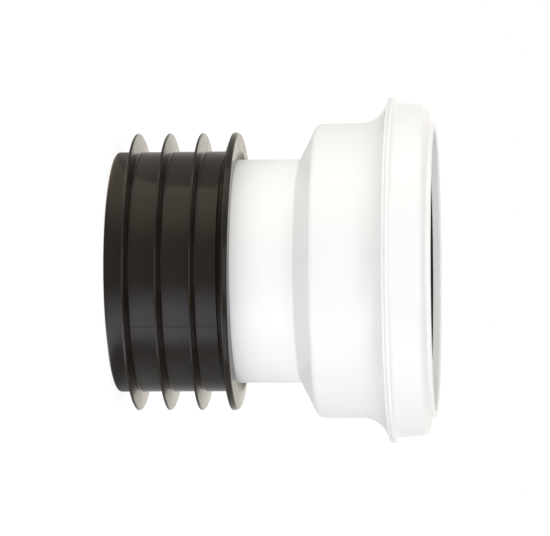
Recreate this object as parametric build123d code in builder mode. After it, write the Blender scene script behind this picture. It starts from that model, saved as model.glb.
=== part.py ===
from build123d import *
from math import radians, tan
import os

# Straight toilet pan connector, standing on its outlet end.
# It is four turned forms about +Z: the white moulded body, the black finned sleeve stretched over
# its spigot, the white ring welded to its flange, and the rubber seal that the ring holds in the mouth.
# The origin is the middle of the outlet end, and +Z points out of the mouth that takes the pan.
# All sizes are in millimetres. Every half section is drawn in the XZ plane, as (radius, height),
# with a list of the roundings at its corners beside it.

# Body: a 90 mm spigot, a steep cone, a wider socket and a flange on a concave flare
body_wall = 2.6
body_height = 108.9
spigot_radius = 45.0
spigot_length = 72.0
cone_angle = 63.0
cone_foot_round = 0.8
shoulder_round = 2.8
flange_radius = 69.2
flange_overhang = 10.0
flange_edge = 1.2
flange_round = 0.8
flare_share = 1.13
flare_angle = 72.0
seal_seat_margin = 0.3
seal_seat_share = 3.2
seal_seat_angle = 45.0
edge_round = 0.3

# Barbed rib on the spigot, which keeps the finned sleeve from being dragged off
rib_height = 0.9
rib_start = 24.0
rib_ramp = 4.0
rib_land = 1.5

# Finned sleeve: a thick tube with three thin fins and a heavier collar
sleeve_wall = 3.4
sleeve_length = 49.5
nose_lip = 2.0
nose_round = 1.0
fin_count = 3
fin_radius = 56.2
fin_first = 8.6
fin_pitch = 12.95
fin_root = 2.3
fin_root_round = 0.6
fin_rim = 0.9
fin_rim_round = 0.25
collar_root = 5.3
collar_rim = 2.3
collar_rim_round = 0.8
recess_width = 3.7
recess_depth = 3.6

# Retaining ring: bead, tapered band, sloping front face and lip
ring_wall = 2.4
ring_height = 13.9
bead_height = 1.5
bead_round = 0.6
band_step = 2.0
band_draft = 4.5
band_foot_round = 1.2
front_width = 6.6
front_slope = 13.0
front_round = 2.4
lip_height = 1.8
lip_taper = 0.6
lip_wall = 2.0
lip_round = 0.9
ring_inner_round = 0.6

# Weld between the ring and the flange: a shallow tongue in a groove
tongue_width = 1.2
tongue_height = 0.6
tongue_inset = 1.6
tongue_clearance = 0.1

# Mouth seal: a leg in the ring, a web under its front face and a sleeve with three lips
leg_thickness = 2.4
leg_clearance = 0.3
web_thickness = 2.4
upstand_height = 1.0
upstand_clearance = 0.1
mouth_sleeve_gap = 1.1
mouth_sleeve_wall = 1.5
mouth_sleeve_tail = 3.0
mouth_round = 0.7
lip_count = 3
seal_lip_reach = 6.5
seal_lip_first = 5.0
seal_lip_pitch = 8.6
seal_lip_slope = 28.0
seal_lip_root = 1.8
seal_lip_tip = 1.0
seal_lip_root_round = 0.5
seal_lip_tip_round = 0.3

# Body heights and radii that follow
spigot_end = nose_lip
bore_radius = spigot_radius - body_wall
socket_radius = flange_radius - flange_overhang
socket_bore_radius = socket_radius - body_wall
cone_foot = spigot_end + spigot_length
cone_top = cone_foot + (socket_radius - spigot_radius) / tan(radians(cone_angle))
cone_wall_shift = body_wall * tan(radians(cone_angle / 2))
flange_face = spigot_end + body_height
flange_under = flange_face - flange_edge
flare_radius = flange_overhang * flare_share
flare_corner = flange_under - flange_overhang / tan(radians(flare_angle))
flare_start = flare_corner - flare_radius * tan(radians(flare_angle / 2))

# Sleeve radii and heights that follow; its nose lip covers the spigot's end, flush with the bore
sleeve_radius = spigot_radius + sleeve_wall
collar_foot = sleeve_length - collar_root
collar_rim_foot = sleeve_length - collar_rim

# Ring radii and heights that follow; its front wall has the same slope inside and out
bead_top = flange_face + bead_height
band_radius = flange_radius - band_step
band_edge_height = flange_face + ring_height
band_edge_radius = band_radius - (ring_height - bead_height) * tan(radians(band_draft))
front_rise = tan(radians(front_slope))
lip_foot_radius = band_edge_radius - front_width
lip_foot_height = band_edge_height + (band_edge_radius - lip_foot_radius) * front_rise
mouth_rim = lip_foot_height + lip_height
lip_tip_radius = lip_foot_radius - lip_taper
lip_bore_radius = lip_tip_radius - lip_wall
band_bore_radius = band_radius - ring_wall
band_bore_height = band_edge_height - ring_wall
band_bore_edge = band_bore_radius - (ring_height - ring_wall) * tan(radians(band_draft))
lip_bore_height = band_bore_height + (band_bore_edge - lip_bore_radius) * front_rise
tongue_outer = flange_radius - tongue_inset
tongue_middle = tongue_outer - tongue_width / 2

# Mouth seal radii and heights that follow; its web lies against the ring's front wall
leg_outer = band_bore_edge - leg_clearance
leg_inner = leg_outer - leg_thickness
leg_top = band_bore_height + (band_bore_edge - leg_outer) * front_rise
upstand_outer = lip_bore_radius - upstand_clearance
upstand_foot = band_bore_height + (band_bore_edge - upstand_outer) * front_rise
upstand_top = upstand_foot + upstand_height
mouth_sleeve_outer = socket_bore_radius - mouth_sleeve_gap
mouth_sleeve_radius = mouth_sleeve_outer - mouth_sleeve_wall
last_lip_foot = upstand_foot - seal_lip_first - (lip_count - 1) * seal_lip_pitch - seal_lip_root
mouth_sleeve_foot = last_lip_foot - mouth_sleeve_tail
web_foot_inner = upstand_foot - web_thickness
web_foot_outer = leg_top - web_thickness
seal_lip_radius = mouth_sleeve_radius - seal_lip_reach
seal_lip_fall = seal_lip_reach * tan(radians(seal_lip_slope))

# Seat in the body's flange, which opens to just inside the seal's leg
seal_seat_radius = leg_inner - seal_seat_margin
seal_seat_step = seal_seat_radius - socket_bore_radius
inner_flare_radius = seal_seat_step * seal_seat_share
inner_flare_corner = flare_start + inner_flare_radius * tan(radians(seal_seat_angle / 2))
seal_seat_foot = inner_flare_corner + seal_seat_step / tan(radians(seal_seat_angle))

# The rib rises towards the flange, so that the sleeve slides on and not off
rib_section = [
    (spigot_radius, rib_start),
    (spigot_radius + rib_height, rib_start + rib_ramp),
    (spigot_radius + rib_height, rib_start + rib_ramp + rib_land),
    (spigot_radius, rib_start + rib_ramp + rib_land),
]
rib_rounds = [0, 0, 0, 0]

# White body
body_outline = [
    (bore_radius, spigot_end),
    (spigot_radius, spigot_end),
    *rib_section,
    (spigot_radius, cone_foot),
    (socket_radius, cone_top),
    (socket_radius, flare_corner),
    (flange_radius, flange_under),
    (flange_radius, flange_face),
    (seal_seat_radius, flange_face),
    (seal_seat_radius, seal_seat_foot),
    (socket_bore_radius, inner_flare_corner),
    (socket_bore_radius, cone_top + cone_wall_shift),
    (bore_radius, cone_foot + cone_wall_shift),
]
body_rounds = [
    0,
    edge_round,
    *rib_rounds,
    cone_foot_round,
    shoulder_round,
    flare_radius,
    flange_round,
    edge_round,
    edge_round,
    0,
    inner_flare_radius,
    cone_foot_round,
    shoulder_round,
]
with BuildPart() as body:
    with BuildSketch(Plane.XZ) as body_section:
        with BuildLine():
            FilletPolyline(*body_outline, radius=body_rounds, close=True)
        make_face()
        with Locations((tongue_middle, flange_face)):
            Rectangle(
                tongue_width + 2 * tongue_clearance,
                2 * (tongue_height + tongue_clearance),
                mode=Mode.SUBTRACT,
            )
    revolve(axis=Axis.Z)

# Black finned sleeve
sleeve_outline = [(bore_radius, 0), (sleeve_radius, 0)]
sleeve_rounds = [edge_round, nose_round]
for number in range(fin_count):
    fin_height = fin_first + number * fin_pitch
    sleeve_outline += [
        (sleeve_radius, fin_height - fin_root / 2),
        (fin_radius, fin_height - fin_rim / 2),
        (fin_radius, fin_height + fin_rim / 2),
        (sleeve_radius, fin_height + fin_root / 2),
    ]
    sleeve_rounds += [fin_root_round, fin_rim_round, fin_rim_round, fin_root_round]
sleeve_outline += [
    (sleeve_radius, collar_foot),
    (fin_radius, collar_rim_foot),
    (fin_radius, sleeve_length),
    (spigot_radius + recess_width, sleeve_length),
    (spigot_radius, sleeve_length - recess_depth),
    *reversed(rib_section),
    (spigot_radius, nose_lip),
    (bore_radius, nose_lip),
]
sleeve_rounds += [
    fin_root_round,
    collar_rim_round,
    collar_rim_round,
    edge_round,
    0,
    *rib_rounds,
    0,
    0,
]
with BuildPart() as outlet_seal:
    with BuildSketch(Plane.XZ) as sleeve_section:
        with BuildLine():
            FilletPolyline(*sleeve_outline, radius=sleeve_rounds, close=True)
        make_face()
    revolve(axis=Axis.Z)

# White retaining ring
ring_outline = [
    (band_bore_radius, flange_face),
    (flange_radius, flange_face),
    (flange_radius, bead_top),
    (band_radius, bead_top),
    (band_edge_radius, band_edge_height),
    (lip_foot_radius, lip_foot_height),
    (lip_tip_radius, mouth_rim),
    (lip_bore_radius, mouth_rim),
    (lip_bore_radius, lip_bore_height),
    (band_bore_edge, band_bore_height),
]
ring_rounds = [
    edge_round,
    edge_round,
    bead_round,
    band_foot_round,
    front_round,
    edge_round,
    lip_round,
    lip_round,
    edge_round,
    ring_inner_round,
]
with BuildPart() as retaining_ring:
    with BuildSketch(Plane.XZ) as ring_section:
        with BuildLine():
            FilletPolyline(*ring_outline, radius=ring_rounds, close=True)
        make_face()
        with Locations((tongue_middle, flange_face)):
            Rectangle(tongue_width, 2 * tongue_height)
    revolve(axis=Axis.Z)

# Rubber seal in the mouth; its lips slope down the way the pan's outlet goes in
mouth_outline = [
    (leg_inner, flange_face),
    (leg_outer, flange_face),
    (leg_outer, leg_top),
    (upstand_outer, upstand_foot),
    (upstand_outer, upstand_top),
    (mouth_sleeve_radius, upstand_top),
]
mouth_rounds = [edge_round, edge_round, mouth_round, 0, edge_round, mouth_round]
for number in range(lip_count):
    lip_height_here = upstand_foot - seal_lip_first - number * seal_lip_pitch
    mouth_outline += [
        (mouth_sleeve_radius, lip_height_here),
        (seal_lip_radius, lip_height_here - seal_lip_fall),
        (seal_lip_radius, lip_height_here - seal_lip_fall - seal_lip_tip),
        (mouth_sleeve_radius, lip_height_here - seal_lip_root),
    ]
    mouth_rounds += [seal_lip_root_round, seal_lip_tip_round, seal_lip_tip_round, seal_lip_root_round]
mouth_outline += [
    (mouth_sleeve_radius, mouth_sleeve_foot),
    (mouth_sleeve_outer, mouth_sleeve_foot),
    (mouth_sleeve_outer, web_foot_inner),
    (leg_inner, web_foot_outer),
]
mouth_rounds += [mouth_round, mouth_round, mouth_round, mouth_round]
with BuildPart() as inlet_seal:
    with BuildSketch(Plane.XZ) as mouth_section:
        with BuildLine():
            FilletPolyline(*mouth_outline, radius=mouth_rounds, close=True)
        make_face()
    revolve(axis=Axis.Z)

# Files
os.makedirs("parts", exist_ok=True)
body.part.label = "body"
outlet_seal.part.label = "outlet_seal"
retaining_ring.part.label = "retaining_ring"
inlet_seal.part.label = "inlet_seal"
export_step(body.part, "parts/body.step")
export_step(outlet_seal.part, "parts/outlet_seal.step")
export_step(retaining_ring.part, "parts/retaining_ring.step")
export_step(inlet_seal.part, "parts/inlet_seal.step")
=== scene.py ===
import math

import bpy
import numpy as np
from mathutils import Matrix, Vector


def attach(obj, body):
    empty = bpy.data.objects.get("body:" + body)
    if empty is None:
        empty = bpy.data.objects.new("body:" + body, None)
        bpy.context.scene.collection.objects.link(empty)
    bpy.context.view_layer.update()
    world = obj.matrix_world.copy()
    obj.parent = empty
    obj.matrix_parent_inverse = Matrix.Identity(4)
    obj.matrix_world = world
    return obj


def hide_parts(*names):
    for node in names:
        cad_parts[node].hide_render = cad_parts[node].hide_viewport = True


# Looks for the straight toilet pan connector. It stands on its outlet end, +Z out of the pan's mouth.
# The four pieces are turned forms. A half section is a list of corners (radius, height, rounding), in mm.
# The sizes are those of the CAD source, apart from a few finer rims and rounds. The floor and the lamps
# are in metres.

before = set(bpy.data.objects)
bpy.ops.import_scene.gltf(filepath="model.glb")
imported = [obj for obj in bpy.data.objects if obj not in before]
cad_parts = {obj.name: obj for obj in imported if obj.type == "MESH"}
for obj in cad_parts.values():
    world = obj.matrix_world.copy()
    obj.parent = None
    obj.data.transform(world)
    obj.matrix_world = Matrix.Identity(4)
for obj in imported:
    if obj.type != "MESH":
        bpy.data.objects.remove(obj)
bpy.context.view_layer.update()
scene = bpy.context.scene
MM = 0.001


def tan_deg(angle):
    return math.tan(math.radians(angle))


# Body: a 90 mm spigot, a steep cone, a wider socket and a flange on a concave flare
BODY_WALL = 2.6
SPIGOT_RADIUS = 45.0
SPIGOT_END = 2.0
BORE_RADIUS = SPIGOT_RADIUS - BODY_WALL
CONE_FOOT = 74.0
CONE_ANGLE = 63.0
CONE_FOOT_ROUND = 0.8
SHOULDER_ROUND = 2.8
SOCKET_RADIUS = 59.2
SOCKET_BORE_RADIUS = SOCKET_RADIUS - BODY_WALL
CONE_TOP = CONE_FOOT + (SOCKET_RADIUS - SPIGOT_RADIUS) / tan_deg(CONE_ANGLE)
CONE_WALL_SHIFT = BODY_WALL * tan_deg(CONE_ANGLE / 2)
FLANGE_RADIUS = 69.2
FLANGE_FACE = 110.9
FLANGE_EDGE = 1.2
FLANGE_ROUND = 0.5
FLANGE_UNDER = FLANGE_FACE - FLANGE_EDGE
FLARE_RADIUS = 11.3
FLARE_ANGLE = 72.0
FLARE_CORNER = FLANGE_UNDER - (FLANGE_RADIUS - SOCKET_RADIUS) / tan_deg(FLARE_ANGLE)
FLARE_START = FLARE_CORNER - FLARE_RADIUS * tan_deg(FLARE_ANGLE / 2)
EDGE_ROUND = 0.3

# Barbed rib on the spigot, under the sleeve
RIB_HEIGHT = 0.9
RIB_START = 24.0
RIB_RAMP = 4.0
RIB_LAND = 1.5
RIB = [
    (SPIGOT_RADIUS, RIB_START, 0),
    (SPIGOT_RADIUS + RIB_HEIGHT, RIB_START + RIB_RAMP, 0),
    (SPIGOT_RADIUS + RIB_HEIGHT, RIB_START + RIB_RAMP + RIB_LAND, 0),
    (SPIGOT_RADIUS, RIB_START + RIB_RAMP + RIB_LAND, 0),
]

# Open joint line between the flange and the ring
SEAM_WIDTH = 0.26
SEAM_DEPTH = 0.45
SEAM_ROUND = 0.12
SEAM_RADIUS = FLANGE_RADIUS - SEAM_DEPTH
SEAM_FOOT = FLANGE_FACE - SEAM_WIDTH

# Finned sleeve; the rims of its fins and collar taper, as they do in the photograph
SLEEVE_RADIUS = 48.4
SLEEVE_TOP = 49.5
NOSE_ROUND = 1.0
FIN_RADIUS = 56.2
FIN_HEIGHTS = [8.6, 21.55, 34.5]
FIN_ROOT = 2.1
FIN_ROOT_ROUND_BELOW = 0.6
FIN_ROOT_ROUND_ABOVE = 0.45
FIN_RIM = 0.95
FIN_RIM_TAPER = 0.30
FIN_RIM_ROUND_BELOW = 0.30
FIN_RIM_ROUND_ABOVE = 0.40
COLLAR_ROOT = 5.3
COLLAR_ROOT_ROUND = 0.6
COLLAR_RIM = 2.3
COLLAR_RIM_TAPER = 0.70
COLLAR_RIM_ROUND = 0.8
RECESS_WIDTH = 3.7
RECESS_DEPTH = 3.6

# How far the rubber hangs out of true, in mm, fin by fin and then for all of them. A shift moves a fin's
# rim along the axis, a lean takes it down at +X, a lift takes it up in front and behind, and a shrink
# narrows it. The collar sags most at +X. A reach is measured from the fin's height or the sleeve's top.
FIN_SHIFTS = [-0.34, -0.56, -0.25]
FIN_LEANS = [0.23, 0.27, 0.47]
FIN_LIFT = 0.24
FIN_SHRINK = 0.25
FIN_REACH = 3.0
COLLAR_SAG = 0.30
COLLAR_REACH = 6.0
# Depth in mm, waves round the rim, and twist in radians a millimetre of height
RIPPLES = [(0.08, 3, 0.17), (0.05, 7, -0.4)]

# Two mould lines down the sleeve, the first 26.4 degrees from the camera's side. They run from foot to top
# on the tube, and the margin says how far off its radius a point may be.
PARTING_TURN = math.radians(-90 + 26.4)
PARTING_DEPTH = 0.075
PARTING_HALF = math.radians(0.13)
PARTING_FOOT = 1.2
PARTING_TOP = SLEEVE_TOP - 4
PARTING_MARGIN = 0.05
# Places of the columns across a mould line, in half widths, and how far the even columns stay away
PARTING_COLUMNS = np.array([-2.4, -1.6, -1.0, -0.5, 0.0, 0.5, 1.0, 1.6, 2.4])
COLUMN_GAP = math.radians(0.2)

# Retaining ring: bead, tapered band, sloping front face and lip
RING_WALL = 2.4
RING_HEIGHT = 13.9
BEAD_HEIGHT = 1.5
BEAD_ROUND = 0.6
BEAD_TOP = FLANGE_FACE + BEAD_HEIGHT
BAND_DRAFT = 4.5
BAND_FOOT_ROUND = 1.6
BAND_RADIUS = 67.2
BAND_EDGE_HEIGHT = FLANGE_FACE + RING_HEIGHT
BAND_EDGE_RADIUS = BAND_RADIUS - (RING_HEIGHT - BEAD_HEIGHT) * tan_deg(BAND_DRAFT)
FRONT_WIDTH = 6.6
FRONT_SLOPE = 13.0
FRONT_RISE = tan_deg(FRONT_SLOPE)
FRONT_ROUND = 2.4
LIP_HEIGHT = 1.8
LIP_TAPER = 0.6
LIP_WALL = 2.0
LIP_ROUND = 0.9
LIP_FOOT_RADIUS = BAND_EDGE_RADIUS - FRONT_WIDTH
LIP_FOOT_HEIGHT = BAND_EDGE_HEIGHT + (BAND_EDGE_RADIUS - LIP_FOOT_RADIUS) * FRONT_RISE
LIP_TIP_RADIUS = LIP_FOOT_RADIUS - LIP_TAPER
LIP_BORE_RADIUS = LIP_TIP_RADIUS - LIP_WALL
MOUTH_RIM = LIP_FOOT_HEIGHT + LIP_HEIGHT
BAND_BORE_RADIUS = BAND_RADIUS - RING_WALL
BAND_BORE_EDGE = BAND_BORE_RADIUS - (RING_HEIGHT - RING_WALL) * tan_deg(BAND_DRAFT)
BAND_BORE_HEIGHT = BAND_EDGE_HEIGHT - RING_WALL
LIP_BORE_HEIGHT = BAND_BORE_HEIGHT + (BAND_BORE_EDGE - LIP_BORE_RADIUS) * FRONT_RISE
RING_INNER_ROUND = 0.6

# Mouth seal: a leg in the ring, a web under its front face and a sleeve with three lips
LEG_THICKNESS = 2.4
LEG_CLEARANCE = 0.3
LEG_OUTER = BAND_BORE_EDGE - LEG_CLEARANCE
LEG_INNER = LEG_OUTER - LEG_THICKNESS
LEG_TOP = BAND_BORE_HEIGHT + LEG_CLEARANCE * FRONT_RISE
WEB_THICKNESS = 2.4
UPSTAND_HEIGHT = 0.58
UPSTAND_ROUND = 0.2
UPSTAND_CLEARANCE = 0.1
UPSTAND_OUTER = LIP_BORE_RADIUS - UPSTAND_CLEARANCE
UPSTAND_FOOT = BAND_BORE_HEIGHT + (BAND_BORE_EDGE - UPSTAND_OUTER) * FRONT_RISE
UPSTAND_TOP = UPSTAND_FOOT + UPSTAND_HEIGHT
MOUTH_ROUND = 0.7
MOUTH_SLEEVE_GAP = 1.1
MOUTH_SLEEVE_WALL = 1.5
MOUTH_SLEEVE_LENGTH = 27.0
MOUTH_SLEEVE_RADIUS = SOCKET_BORE_RADIUS - MOUTH_SLEEVE_GAP - MOUTH_SLEEVE_WALL
MOUTH_SLEEVE_FOOT = UPSTAND_FOOT - MOUTH_SLEEVE_LENGTH
SEAL_LIP_COUNT = 3
SEAL_LIP_FIRST = 5.0
SEAL_LIP_PITCH = 8.6
SEAL_LIP_REACH = 6.5
SEAL_LIP_ROOT = 1.8
SEAL_LIP_TIP = 1.0
SEAL_LIP_ROOT_ROUND = 0.5
SEAL_LIP_TIP_ROUND = 0.3
SEAL_LIP_SLOPE = 28.0
SEAL_LIP_RADIUS = MOUTH_SLEEVE_RADIUS - SEAL_LIP_REACH
SEAL_LIP_FALL = SEAL_LIP_REACH * tan_deg(SEAL_LIP_SLOPE)

# Seat for the seal in the body's flange, which opens to just inside the seal's leg
SEAT_MARGIN = 0.3
SEAT_SHARE = 3.2
SEAT_ANGLE = 45.0
SEAT_RADIUS = LEG_INNER - SEAT_MARGIN
SEAT_STEP = SEAT_RADIUS - SOCKET_BORE_RADIUS
INNER_FLARE_RADIUS = SEAT_STEP * SEAT_SHARE
INNER_FLARE_CORNER = FLARE_START + INNER_FLARE_RADIUS * tan_deg(SEAT_ANGLE / 2)
SEAT_FOOT = INNER_FLARE_CORNER + SEAT_STEP / tan_deg(SEAT_ANGLE)

# How finely the forms are divided, in mm and radians
COLUMNS = 256
ARC_RUN = 0.55
ARC_TURN = math.radians(7.5)
ARC_MIN_STEPS = 4
STRAIGHT_RUN = 3.0
END_RUN = 0.12
SHORT_RUN = 0.2
SAME_PLACE = 1e-6
NEARLY_STRAIGHT = 0.01
SHARP_EDGE = math.radians(38)
EVEN_TURN = np.linspace(0, 2 * math.pi, COLUMNS, endpoint=False)


# Turned forms
def unit(vector):
    return vector / np.linalg.norm(vector)


def rounded_corner(before, corner, after, rounding):
    """The points of a rounded corner, or the corner alone where it is sharp or nearly straight."""
    back, on = unit(before - corner), unit(after - corner)
    angle = math.acos(max(-1.0, min(1.0, float(back @ on))))
    if rounding <= 0 or angle > math.pi - NEARLY_STRAIGHT:
        return [corner]
    cut = rounding / math.tan(angle / 2)
    middle = corner + unit(back + on) * (rounding / math.sin(angle / 2))
    start, end = corner + back * cut - middle, corner + on * cut - middle
    turn = math.atan2(start[0] * end[1] - start[1] * end[0], float(start @ end))
    steps = max(ARC_MIN_STEPS, math.ceil(abs(turn) / ARC_TURN), math.ceil(abs(turn) * rounding / ARC_RUN))
    points = []
    for number in range(steps + 1):
        part = turn * number / steps
        cos, sin = math.cos(part), math.sin(part)
        points.append(middle + np.array([cos * start[0] - sin * start[1], sin * start[0] + cos * start[1]]))
    return points


def run_stops(length):
    """Where a straight run is divided, as shares of it: evenly, and close to its ends, to shade flat."""
    parts = max(1, math.ceil(length / STRAIGHT_RUN))
    stops = [number / parts for number in range(1, parts)]
    if length > SHORT_RUN:
        near = min(END_RUN, length / 4) / length
        stops = [near, *stops, 1 - near]
    return stops


def rounded(corners):
    """Closed half section with an arc at each corner and short runs between, as an (n, 2) array."""
    places = [np.array(corner[:2], float) for corner in corners]
    arcs = []
    for i, (place, corner) in enumerate(zip(places, corners)):
        after = places[(i + 1) % len(places)]
        arcs.append(rounded_corner(places[i - 1], place, after, corner[2]))
    section = []
    for arc, following in zip(arcs, arcs[1:] + arcs[:1]):
        section += arc
        run = following[0] - arc[-1]
        length = float(np.linalg.norm(run))
        if length < SAME_PLACE:
            section.pop()
        else:
            section += [arc[-1] + run * stop for stop in run_stops(length)]
    return np.array(section)


def lathe(name, corners, change=None, turn=EVEN_TURN):
    """A closed turned mesh. change(points, turn, section) moves its points, in mm."""
    section = rounded(corners)
    count, columns = len(section), len(turn)
    points = np.empty((count, columns, 3))
    points[:, :, 0] = section[:, :1] * np.cos(turn)
    points[:, :, 1] = section[:, :1] * np.sin(turn)
    points[:, :, 2] = section[:, 1:]
    if change is not None:
        points = change(points, turn, section)
    index = np.arange(count * columns).reshape(count, columns)
    following = np.roll(index, -1, axis=0)
    faces = np.stack([index, np.roll(index, -1, axis=1), np.roll(following, -1, axis=1), following], axis=-1)
    mesh = bpy.data.meshes.new(name)
    mesh.from_pydata((points.reshape(-1, 3) * MM).tolist(), [], faces.reshape(-1, 4).tolist())
    mesh.polygons.foreach_set("use_smooth", np.ones(len(mesh.polygons), bool))
    mesh.set_sharp_from_angle(angle=SHARP_EDGE)
    mesh.update()
    piece = bpy.data.objects.new(name, mesh)
    scene.collection.objects.link(piece)
    return piece


# Nodes
def link(tree, output, socket):
    tree.links.new(output, socket)


def coloured(tree, kind, colour):
    """A shader node of one colour."""
    node = tree.nodes.new(kind)
    node.inputs["Color"].default_value = (*colour, 1)
    return node


def math_node(tree, operation, first, second=None):
    """A Math node of one or two values, each a number or an output."""
    node = tree.nodes.new("ShaderNodeMath")
    node.operation = operation
    for socket, value in zip(node.inputs, (first, second)):
        if isinstance(value, (int, float)):
            socket.default_value = value
        elif value is not None:
            link(tree, value, socket)
    return node.outputs[0]


def mixed(tree, fac, first, second):
    """Mix of two colours, each a tuple or an output."""
    node = tree.nodes.new("ShaderNodeMix")
    node.data_type = "RGBA"
    for socket, value in (("A", first), ("B", second)):
        if isinstance(value, tuple):
            node.inputs[socket].default_value = (*value, 1)
        else:
            link(tree, value, node.inputs[socket])
    link(tree, fac, node.inputs["Factor"])
    return node.outputs["Result"]


def joined(tree, kind, first, second, fac=None):
    """Mix or sum of two shaders."""
    node = tree.nodes.new(kind)
    if fac is not None:
        link(tree, fac, node.inputs[0])
    link(tree, first, node.inputs[-2])
    link(tree, second, node.inputs[-1])
    return node.outputs[0]


def map_range(tree, value, start, end, low, high, smooth=False):
    """low where value is start, high where it is end, and between them a straight or a smooth rise."""
    node = tree.nodes.new("ShaderNodeMapRange")
    if smooth:
        node.interpolation_type = "SMOOTHSTEP"
    for socket, number in zip(("From Min", "From Max", "To Min", "To Max"), (start, end, low, high)):
        node.inputs[socket].default_value = number
    link(tree, value, node.inputs["Value"])
    return node.outputs["Result"]


def ramp(tree, value, ends, low=0.0, high=1.0):
    """Smooth rise from low to high, or a fall, between two ends."""
    return map_range(tree, value, *ends, low, high, smooth=True)


def axes(tree, coords):
    node = tree.nodes.new("ShaderNodeSeparateXYZ")
    link(tree, coords, node.inputs[0])
    return node.outputs


def height_of(tree, coords):
    return axes(tree, coords)["Z"]


def radius_of(tree, coords):
    place = axes(tree, coords)
    squares = [math_node(tree, "POWER", place[axis], 2.0) for axis in ("X", "Y")]
    return math_node(tree, "SQRT", math_node(tree, "ADD", *squares))


def noise(tree, coords, size_mm, detail, rough=0.5, stretch=None):
    """Noise whose features are about size_mm across; stretch scales the three axes first."""
    node = tree.nodes.new("ShaderNodeTexNoise")
    node.inputs["Scale"].default_value = 1 / MM / size_mm
    node.inputs["Detail"].default_value = detail
    node.inputs["Roughness"].default_value = rough
    if stretch is not None:
        mapping = tree.nodes.new("ShaderNodeMapping")
        mapping.inputs["Scale"].default_value = stretch
        link(tree, coords, mapping.inputs["Vector"])
        coords = mapping.outputs["Vector"]
    link(tree, coords, node.inputs["Vector"])
    return node.outputs["Fac"]


def spread(tree, value, low, high, start=0.35, end=0.65):
    """Maps noise, most of which lies from start to end, onto low to high."""
    return map_range(tree, value, start, end, low, high)


def bumps(tree, bsdf, layers):
    """Chains bump nodes: each layer is (height, depth in mm, strength)."""
    normal = None
    for height, depth, strength in layers:
        node = tree.nodes.new("ShaderNodeBump")
        node.inputs["Strength"].default_value = strength
        node.inputs["Distance"].default_value = depth * MM
        link(tree, height, node.inputs["Height"])
        if normal is not None:
            link(tree, normal, node.inputs["Normal"])
        normal = node.outputs["Normal"]
    link(tree, normal, bsdf.inputs["Normal"])


# Materials
def shader(name, colour, specular):
    """A node material: itself, its tree, its Principled shader and the object's own coordinates."""
    mat = bpy.data.materials.new(name)
    mat.use_nodes = True
    tree = mat.node_tree
    bsdf = tree.nodes["Principled BSDF"]
    bsdf.inputs["Base Color"].default_value = (*colour, 1)
    bsdf.inputs["Specular IOR Level"].default_value = specular
    return mat, tree, bsdf, tree.nodes.new("ShaderNodeTexCoord").outputs["Object"]


PATCH = (0.84, 0.85, 0.84)
PATCH_SHARE = 0.16


def white_plastic(name, light, deep, place_of, start_mm, end_mm, roughness):
    """Soft-gloss white with faint patches, in two tones split at a height or a radius; short of the split it
    is painted lighter, as painted light where the lamps leave it in shade.
    """
    mat, tree, bsdf, coords = shader(name, light, specular=0.36)
    # Share of the deeper tone; short of the split the white is painted lighter, as painted light
    past_painted_light = map_range(tree, place_of(tree, coords), start_mm * MM, end_mm * MM, 0, 1)
    painted_light_tone = mixed(tree, past_painted_light, light, deep)
    patches = spread(tree, noise(tree, coords, size_mm=40.0, detail=1.0), 0, PATCH_SHARE, start=0.1, end=0.9)
    link(tree, mixed(tree, patches, painted_light_tone, PATCH), bsdf.inputs["Base Color"])
    haze = noise(tree, coords, size_mm=14.0, detail=1.5)
    link(tree, spread(tree, haze, *roughness), bsdf.inputs["Roughness"])
    waves = noise(tree, coords, size_mm=22.0, detail=0.0)
    grain = noise(tree, coords, size_mm=1.3, detail=1.0)
    bumps(tree, bsdf, [(waves, 0.05, 0.35), (grain, 0.002, 0.25)])
    return mat


def black_rubber(name, base, deep, roughness, specular):
    """Satin black, a little deeper in patches."""
    mat, tree, bsdf, coords = shader(name, base, specular)
    patches = spread(tree, noise(tree, coords, size_mm=14.0, detail=3.0, rough=0.6), 0, 1)
    link(tree, mixed(tree, patches, base, deep), bsdf.inputs["Base Color"])
    haze = noise(tree, coords, size_mm=7.0, detail=4.0, rough=0.6, stretch=(1.0, 1.0, 0.5))
    link(tree, spread(tree, haze, *roughness), bsdf.inputs["Roughness"])
    waves = noise(tree, coords, size_mm=13.0, detail=1.0)
    grain = noise(tree, coords, size_mm=0.8, detail=1.5)
    bumps(tree, bsdf, [(waves, 0.05, 0.30), (grain, 0.003, 0.30)])
    return mat


# The spigot and cone are painted a lighter white than the socket and flange: painted light where the collar
# and the cone's downward slope leave them in shade
body_mat = white_plastic(
    "white_plastic_body",
    light=(0.962, 0.965, 0.958),
    deep=(0.878, 0.883, 0.877),
    place_of=height_of,
    start_mm=79.5,
    end_mm=82.5,
    roughness=(0.30, 0.37),
)
# The lip's bore, the far inside of the mouth, is painted a lighter white than the rest of the ring: painted
# light in the mouth's shade
ring_mat = white_plastic(
    "white_plastic_ring",
    light=(0.970, 0.973, 0.968),
    deep=(0.880, 0.885, 0.880),
    place_of=radius_of,
    start_mm=57.3,
    end_mm=58.2,
    roughness=(0.29, 0.35),
)
sleeve_mat = black_rubber(
    "black_rubber_sleeve",
    base=(0.0160, 0.0120, 0.0088),
    deep=(0.0136, 0.0102, 0.0075),
    roughness=(0.14, 0.20),
    specular=0.165,
)
mouth_mat = black_rubber(
    "black_rubber_mouth",
    base=(0.0180, 0.0130, 0.0098),
    deep=(0.0140, 0.0100, 0.0074),
    roughness=(0.20, 0.26),
    specular=0.15,
)

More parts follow.
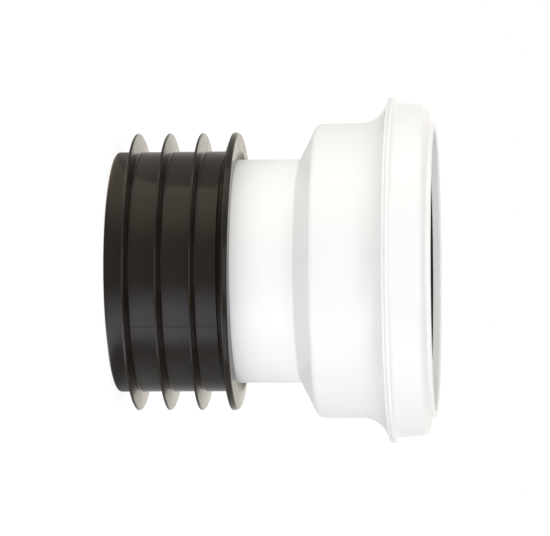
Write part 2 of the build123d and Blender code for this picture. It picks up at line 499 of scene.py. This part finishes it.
# White body
body = lathe(
    "body_white",
    [
        (BORE_RADIUS, SPIGOT_END, 0),
        (SPIGOT_RADIUS, SPIGOT_END, EDGE_ROUND),
        *RIB,
        (SPIGOT_RADIUS, CONE_FOOT, CONE_FOOT_ROUND),
        (SOCKET_RADIUS, CONE_TOP, SHOULDER_ROUND),
        (SOCKET_RADIUS, FLARE_CORNER, FLARE_RADIUS),
        (FLANGE_RADIUS, FLANGE_UNDER, FLANGE_ROUND),
        (FLANGE_RADIUS, SEAM_FOOT, SEAM_ROUND),
        (SEAM_RADIUS, SEAM_FOOT, 0),
        (SEAM_RADIUS, FLANGE_FACE, 0),
        (SEAT_RADIUS, FLANGE_FACE, EDGE_ROUND),
        (SEAT_RADIUS, SEAT_FOOT, 0),
        (SOCKET_BORE_RADIUS, INNER_FLARE_CORNER, INNER_FLARE_RADIUS),
        (SOCKET_BORE_RADIUS, CONE_TOP + CONE_WALL_SHIFT, CONE_FOOT_ROUND),
        (BORE_RADIUS, CONE_FOOT + CONE_WALL_SHIFT, SHOULDER_ROUND),
    ],
)

# Black finned sleeve
sleeve_corners = [(BORE_RADIUS, 0, EDGE_ROUND), (SLEEVE_RADIUS, 0, NOSE_ROUND)]
for fin in FIN_HEIGHTS:
    sleeve_corners += [
        (SLEEVE_RADIUS, fin - FIN_ROOT / 2, FIN_ROOT_ROUND_BELOW),
        (FIN_RADIUS, fin - FIN_RIM / 2, FIN_RIM_ROUND_BELOW),
        (FIN_RADIUS - FIN_RIM_TAPER, fin + FIN_RIM / 2, FIN_RIM_ROUND_ABOVE),
        (SLEEVE_RADIUS, fin + FIN_ROOT / 2, FIN_ROOT_ROUND_ABOVE),
    ]
sleeve_corners += [
    (SLEEVE_RADIUS, SLEEVE_TOP - COLLAR_ROOT, COLLAR_ROOT_ROUND),
    (FIN_RADIUS, SLEEVE_TOP - COLLAR_RIM, COLLAR_RIM_ROUND),
    (FIN_RADIUS - COLLAR_RIM_TAPER, SLEEVE_TOP, COLLAR_RIM_ROUND),
    (SPIGOT_RADIUS + RECESS_WIDTH, SLEEVE_TOP, EDGE_ROUND),
    (SPIGOT_RADIUS, SLEEVE_TOP - RECESS_DEPTH, 0),
    *reversed(RIB),
    (SPIGOT_RADIUS, SPIGOT_END, 0),
    (BORE_RADIUS, SPIGOT_END, 0),
]


def parting_columns():
    """The even columns, with close ones across the two mould lines."""
    steps = PARTING_HALF * PARTING_COLUMNS
    lines = np.concatenate([PARTING_TURN + steps, PARTING_TURN + math.pi + steps]) % (2 * math.pi)
    clear = np.min(np.abs(EVEN_TURN[:, None] - lines[None, :]), axis=1) > COLUMN_GAP
    return np.sort(np.concatenate([EVEN_TURN[clear], lines]))


def draw_in(points, turn, depth):
    """Moves the points towards the axis."""
    points[:, :, 0] -= depth * np.cos(turn)
    points[:, :, 1] -= depth * np.sin(turn)


def sleeve_form(points, turn, section):
    """Fins and collar that hang a little out of true, as stretched rubber does, and fine mould lines."""
    radius, height = section[:, :1], section[:, 1:]
    out = np.clip((radius - SLEEVE_RADIUS) / (FIN_RADIUS - SLEEVE_RADIUS), 0, 1)
    ripple = sum(depth * np.sin(waves * turn + twist * height) for depth, waves, twist in RIPPLES)
    for fin, shift, lean in zip(FIN_HEIGHTS, FIN_SHIFTS, FIN_LEANS):
        own = out * (np.abs(height - fin) < FIN_REACH)
        points[:, :, 2] += own * (shift - lean * np.cos(turn) + FIN_LIFT * np.sin(turn) ** 2 + ripple)
        draw_in(points, turn, own * FIN_SHRINK)
    collar = out * (height > SLEEVE_TOP - COLLAR_REACH)
    points[:, :, 2] -= collar * COLLAR_SAG * (1 + np.cos(turn)) ** 2
    tube = (radius > SLEEVE_RADIUS - PARTING_MARGIN) & (height > PARTING_FOOT) & (height < PARTING_TOP)
    for seam in (PARTING_TURN, PARTING_TURN + math.pi):
        away = np.angle(np.exp(1j * (turn - seam)))
        groove = PARTING_DEPTH * np.exp(-((away / PARTING_HALF) ** 2))
        draw_in(points, turn, np.where(tube, groove, 0) * (1 - out))
    return points


sleeve = lathe("sleeve_rubber", sleeve_corners, sleeve_form, parting_columns())

# White retaining ring
ring = lathe(
    "ring_white",
    [
        (BAND_BORE_RADIUS, FLANGE_FACE, EDGE_ROUND),
        (FLANGE_RADIUS, FLANGE_FACE, SEAM_ROUND),
        (FLANGE_RADIUS, BEAD_TOP, BEAD_ROUND),
        (BAND_RADIUS, BEAD_TOP, BAND_FOOT_ROUND),
        (BAND_EDGE_RADIUS, BAND_EDGE_HEIGHT, FRONT_ROUND),
        (LIP_FOOT_RADIUS, LIP_FOOT_HEIGHT, EDGE_ROUND),
        (LIP_TIP_RADIUS, MOUTH_RIM, LIP_ROUND),
        (LIP_BORE_RADIUS, MOUTH_RIM, LIP_ROUND),
        (LIP_BORE_RADIUS, LIP_BORE_HEIGHT, EDGE_ROUND),
        (BAND_BORE_EDGE, BAND_BORE_HEIGHT, RING_INNER_ROUND),
    ],
)

# Rubber seal in the mouth; its lips slope down the way the pan's outlet goes in
mouth_corners = [
    (LEG_INNER, FLANGE_FACE, EDGE_ROUND),
    (LEG_OUTER, FLANGE_FACE, EDGE_ROUND),
    (LEG_OUTER, LEG_TOP, MOUTH_ROUND),
    (UPSTAND_OUTER, UPSTAND_FOOT, 0),
    (UPSTAND_OUTER, UPSTAND_TOP, UPSTAND_ROUND),
    (MOUTH_SLEEVE_RADIUS, UPSTAND_TOP, MOUTH_ROUND),
]
for number in range(SEAL_LIP_COUNT):
    top = UPSTAND_FOOT - SEAL_LIP_FIRST - number * SEAL_LIP_PITCH
    mouth_corners += [
        (MOUTH_SLEEVE_RADIUS, top, SEAL_LIP_ROOT_ROUND),
        (SEAL_LIP_RADIUS, top - SEAL_LIP_FALL, SEAL_LIP_TIP_ROUND),
        (SEAL_LIP_RADIUS, top - SEAL_LIP_FALL - SEAL_LIP_TIP, SEAL_LIP_TIP_ROUND),
        (MOUTH_SLEEVE_RADIUS, top - SEAL_LIP_ROOT, SEAL_LIP_ROOT_ROUND),
    ]
mouth_corners += [
    (MOUTH_SLEEVE_RADIUS, MOUTH_SLEEVE_FOOT, MOUTH_ROUND),
    (MOUTH_SLEEVE_RADIUS + MOUTH_SLEEVE_WALL, MOUTH_SLEEVE_FOOT, MOUTH_ROUND),
    (MOUTH_SLEEVE_RADIUS + MOUTH_SLEEVE_WALL, UPSTAND_FOOT - WEB_THICKNESS, MOUTH_ROUND),
    (LEG_INNER, LEG_TOP - WEB_THICKNESS, MOUTH_ROUND),
]
mouth = lathe("mouth_rubber", mouth_corners)

for piece, node, slot, mat in (
    (body, "body", "white_plastic", body_mat),
    (sleeve, "outlet_seal", "sleeve_rubber", sleeve_mat),
    (ring, "retaining_ring", "ring_plastic", ring_mat),
    (mouth, "inlet_seal", "mouth_rubber", mouth_mat),
):
    piece.data.materials.append(mat)
    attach(piece, "root")
    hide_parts(node)


# Floor and backdrop
def shown_directly(tree, light_path):
    """1 for camera, glossy and transmission rays."""
    shown = math_node(tree, "MAXIMUM", light_path["Is Camera Ray"], light_path["Is Glossy Ray"])
    return math_node(tree, "MAXIMUM", shown, light_path["Is Transmission Ray"])


def fresh_tree(block):
    block.use_nodes = True
    block.node_tree.nodes.clear()
    return block.node_tree


# The floor lights the object as a matte pale floor does. Where it is seen directly it is a white glow,
# with a faint matte part that keeps the object's soft shadow.
FLOOR_RADIUS = 6.0
FLOOR_SIDES = 96
FLOOR_HEIGHT = -0.0001
FLOOR_COLOUR = (0.95, 0.95, 0.95)
FAINT_COLOUR = (0.18, 0.18, 0.18)
GLOW = 0.92
WHITE = (1.0, 1.0, 1.0)

# Seen only in reflections, its glow is painted light and shade: warm at -X, cool at +X and dim behind the
# object, and round the object's foot a painted highlight in front and painted shade at the flanks. Bearings
# are from the camera's side, positive at +X.
WARM_SIDE = (1.0, 0.945, 0.835)
COOL_SIDE = (1.0, 0.985, 0.98)
SIDE_ENDS = (-0.5, 0.5)
BACK_GLOW = 0.42
BACK_ENDS = np.radians((88, 125))
FLANK_ENDS = np.radians((40, 78))
FRONT_GAIN = 0.15
FLANK_GAIN = -0.72
FOOT_ENDS = (0.045, 0.115)

# It also glows, in reflections only, in two bright stretches in front: painted pools of light that give the
# rubber painted highlights. The cool one widens with distance. Each has the bearings where it rises and
# falls, a gain far out and a colour.
WARM_RISE = np.radians((-86, -79))
WARM_FALL = np.radians((-58, -18))
WARM_GAIN = 1.26
WARM_LIGHT = (1.66, 1.41, 0.98)
COOL_RISE = np.radians((5, 38))
COOL_FALL = np.radians((30, 50))
COOL_GAIN = 1.0
COOL_LIGHT = (2.95, 2.95, 3.30)
COOL_SLANT = 1.83
SLANT_REACH = 0.25
GAIN_ENDS = (0.15, 0.42)
FADE_ENDS = (0.48, 0.72)
FADED = 0.42

bpy.ops.mesh.primitive_circle_add(
    vertices=FLOOR_SIDES, radius=FLOOR_RADIUS, fill_type="NGON", location=(0, 0, FLOOR_HEIGHT)
)
floor = bpy.context.object
floor.name = "floor"
floor_mat = bpy.data.materials.new("pale_floor")
floor.data.materials.append(floor_mat)
tree = fresh_tree(floor_mat)
light_path = tree.nodes.new("ShaderNodeLightPath").outputs
glossy = light_path["Is Glossy Ray"]
matte = coloured(tree, "ShaderNodeBsdfDiffuse", FLOOR_COLOUR).outputs[0]
faint = coloured(tree, "ShaderNodeBsdfDiffuse", FAINT_COLOUR).outputs[0]
glow = tree.nodes.new("ShaderNodeEmission")

floor_coords = tree.nodes.new("ShaderNodeTexCoord").outputs["Object"]
floor_place = axes(tree, floor_coords)
towards_camera = math_node(tree, "MULTIPLY", floor_place["Y"], -1.0)
bearing = math_node(tree, "ARCTAN2", floor_place["X"], towards_camera)
distance = radius_of(tree, floor_coords)

# Painted light and shade, shown to glossy rays only: warm and cool sides, a dim back, and painted shade at
# the flanks of the foot
side = ramp(tree, math_node(tree, "DIVIDE", floor_place["X"], distance), SIDE_ENDS)
tint = mixed(tree, side, WARM_SIDE, COOL_SIDE)
link(tree, mixed(tree, glossy, WHITE, tint), glow.inputs["Color"])
turned_away = math_node(tree, "ABSOLUTE", bearing)
flank = ramp(tree, turned_away, FLANK_ENDS, FRONT_GAIN, FLANK_GAIN)
close = ramp(tree, distance, FOOT_ENDS, 1.0, 0.0)
foot_gain = math_node(tree, "ADD", math_node(tree, "MULTIPLY", close, flank), 1.0)
round_glow = ramp(tree, turned_away, BACK_ENDS, GLOW, BACK_GLOW)
strength = tree.nodes.new("ShaderNodeMix")
strength.inputs["A"].default_value = GLOW
link(tree, glossy, strength.inputs["Factor"])
link(tree, math_node(tree, "MULTIPLY", foot_gain, round_glow), strength.inputs["B"])
link(tree, strength.outputs["Result"], glow.inputs["Strength"])
shown = joined(tree, "ShaderNodeAddShader", faint, glow.outputs[0])

reach = math_node(tree, "MINIMUM", distance, SLANT_REACH)
slanted = math_node(tree, "SUBTRACT", bearing, math_node(tree, "MULTIPLY", reach, COOL_SLANT))
fade = math_node(tree, "MULTIPLY", foot_gain, ramp(tree, distance, FADE_ENDS, 1.0, FADED))
# Painted pools of light, glowing to glossy rays only, that make the rubber's painted highlights
for rise, fall, edge, gain, colour in (
    (WARM_RISE, WARM_FALL, bearing, WARM_GAIN, WARM_LIGHT),
    (COOL_RISE, COOL_FALL, slanted, COOL_GAIN, COOL_LIGHT),
):
    between = math_node(tree, "MULTIPLY", ramp(tree, bearing, rise), ramp(tree, edge, fall, 1.0, 0.0))
    stretch = math_node(tree, "MULTIPLY", between, fade)
    stretch = math_node(tree, "MULTIPLY", stretch, ramp(tree, distance, GAIN_ENDS, 1.0, gain))
    painted_pool = coloured(tree, "ShaderNodeEmission", colour)
    link(tree, math_node(tree, "MULTIPLY", stretch, glossy), painted_pool.inputs["Strength"])
    shown = joined(tree, "ShaderNodeAddShader", shown, painted_pool.outputs[0])

surface = joined(tree, "ShaderNodeMixShader", matte, shown, shown_directly(tree, light_path))
link(tree, surface, tree.nodes.new("ShaderNodeOutputMaterial").inputs["Surface"])

# World: white behind the object, plain soft light on it, and a warm pale room in its reflections
ROOM_LIGHT = (0.570, 0.575, 0.568)
ROOM_MIRRORED = (0.86, 0.82, 0.74)
world = bpy.data.worlds.new("studio")
scene.world = world
tree = fresh_tree(world)
light_path = tree.nodes.new("ShaderNodeLightPath").outputs
backdrop = coloured(tree, "ShaderNodeBackground", WHITE).outputs[0]
room = coloured(tree, "ShaderNodeBackground", ROOM_LIGHT).outputs[0]
mirrored_room = coloured(tree, "ShaderNodeBackground", ROOM_MIRRORED).outputs[0]
sky = joined(tree, "ShaderNodeMixShader", room, backdrop, shown_directly(tree, light_path))
sky = joined(tree, "ShaderNodeMixShader", sky, mirrored_room, light_path["Is Glossy Ray"])
link(tree, sky, tree.nodes.new("ShaderNodeOutputWorld").inputs["Surface"])

# Lamps: name, bearing in degrees from the camera's side and positive towards +X, distance, height,
# width and height of the box, radiance, colour, and whether reflections show it
LAMP_AIM = Vector((0, 0, 0.065))
LAMPS = [
    ("softbox_warm", -75, 1.3, 0.46, (0.9, 0.8), 1.54, (1.0, 0.97, 0.91), True),
    ("softbox_cool", 60, 1.3, 0.46, (0.9, 0.8), 2.30, (0.865, 0.885, 1.0), True),
    ("softbox_high", 0, 0.95, 0.80, (0.8, 0.8), 1.72, (1.0, 0.97, 0.95), True),
    ("softbox_back", 180, 1.3, 0.42, (1.3, 1.0), 0.42, (1.0, 0.94, 0.84), True),
    ("softbox_low", -70, 1.3, 0.19, (1.0, 0.34), 1.95, (0.98, 0.99, 1.0), False),
    ("softbox_rim", 180, 1.3, 0.25, (1.8, 0.4), 1.70, (1.0, 0.96, 0.92), False),
]
for name, lamp_bearing, lamp_distance, lamp_height, size, radiance, colour, mirrored in LAMPS:
    light = bpy.data.lights.new(name, "AREA")
    light.shape = "RECTANGLE"
    light.size, light.size_y = size
    light.color = colour
    light.energy = radiance * math.pi * size[0] * size[1]
    lamp = bpy.data.objects.new(name, light)
    lamp.visible_camera = False
    lamp.visible_glossy = mirrored
    turn = math.radians(lamp_bearing)
    lamp.location = (lamp_distance * math.sin(turn), -lamp_distance * math.cos(turn), lamp_height)
    lamp.rotation_euler = (LAMP_AIM - lamp.location).to_track_quat("-Z", "Y").to_euler()
    scene.collection.objects.link(lamp)

# Camera: a little above level with the object's side, turned so that the axis runs across the picture
CAMERA_MM = Vector((0.0, -1289.925, 178.658))
AIM_MM = Vector((-1.227, 0.0, 63.079))
ROLL = math.radians(0.372)
LENS_PX = 3213.7
PICTURE_WIDTH_PX = 550
SENSOR_WIDTH = 36.0
camera_data = bpy.data.cameras.new("camera")
camera_data.sensor_width = SENSOR_WIDTH
camera_data.lens = LENS_PX / PICTURE_WIDTH_PX * SENSOR_WIDTH
camera_data.clip_start = 0.05
camera_data.clip_end = 50
camera = bpy.data.objects.new("camera", camera_data)
scene.collection.objects.link(camera)
away = (CAMERA_MM - AIM_MM).normalized()
level_right = (Vector((0, 0, 1)) - away * away.z).normalized()
level_up = away.cross(level_right)
right = level_right * math.cos(ROLL) - level_up * math.sin(ROLL)
upward = level_right * math.sin(ROLL) + level_up * math.cos(ROLL)
camera.matrix_world = Matrix.Translation(CAMERA_MM * MM) @ Matrix((right, upward, away)).transposed().to_4x4()
scene.camera = camera

scene.view_settings.view_transform = "Standard"
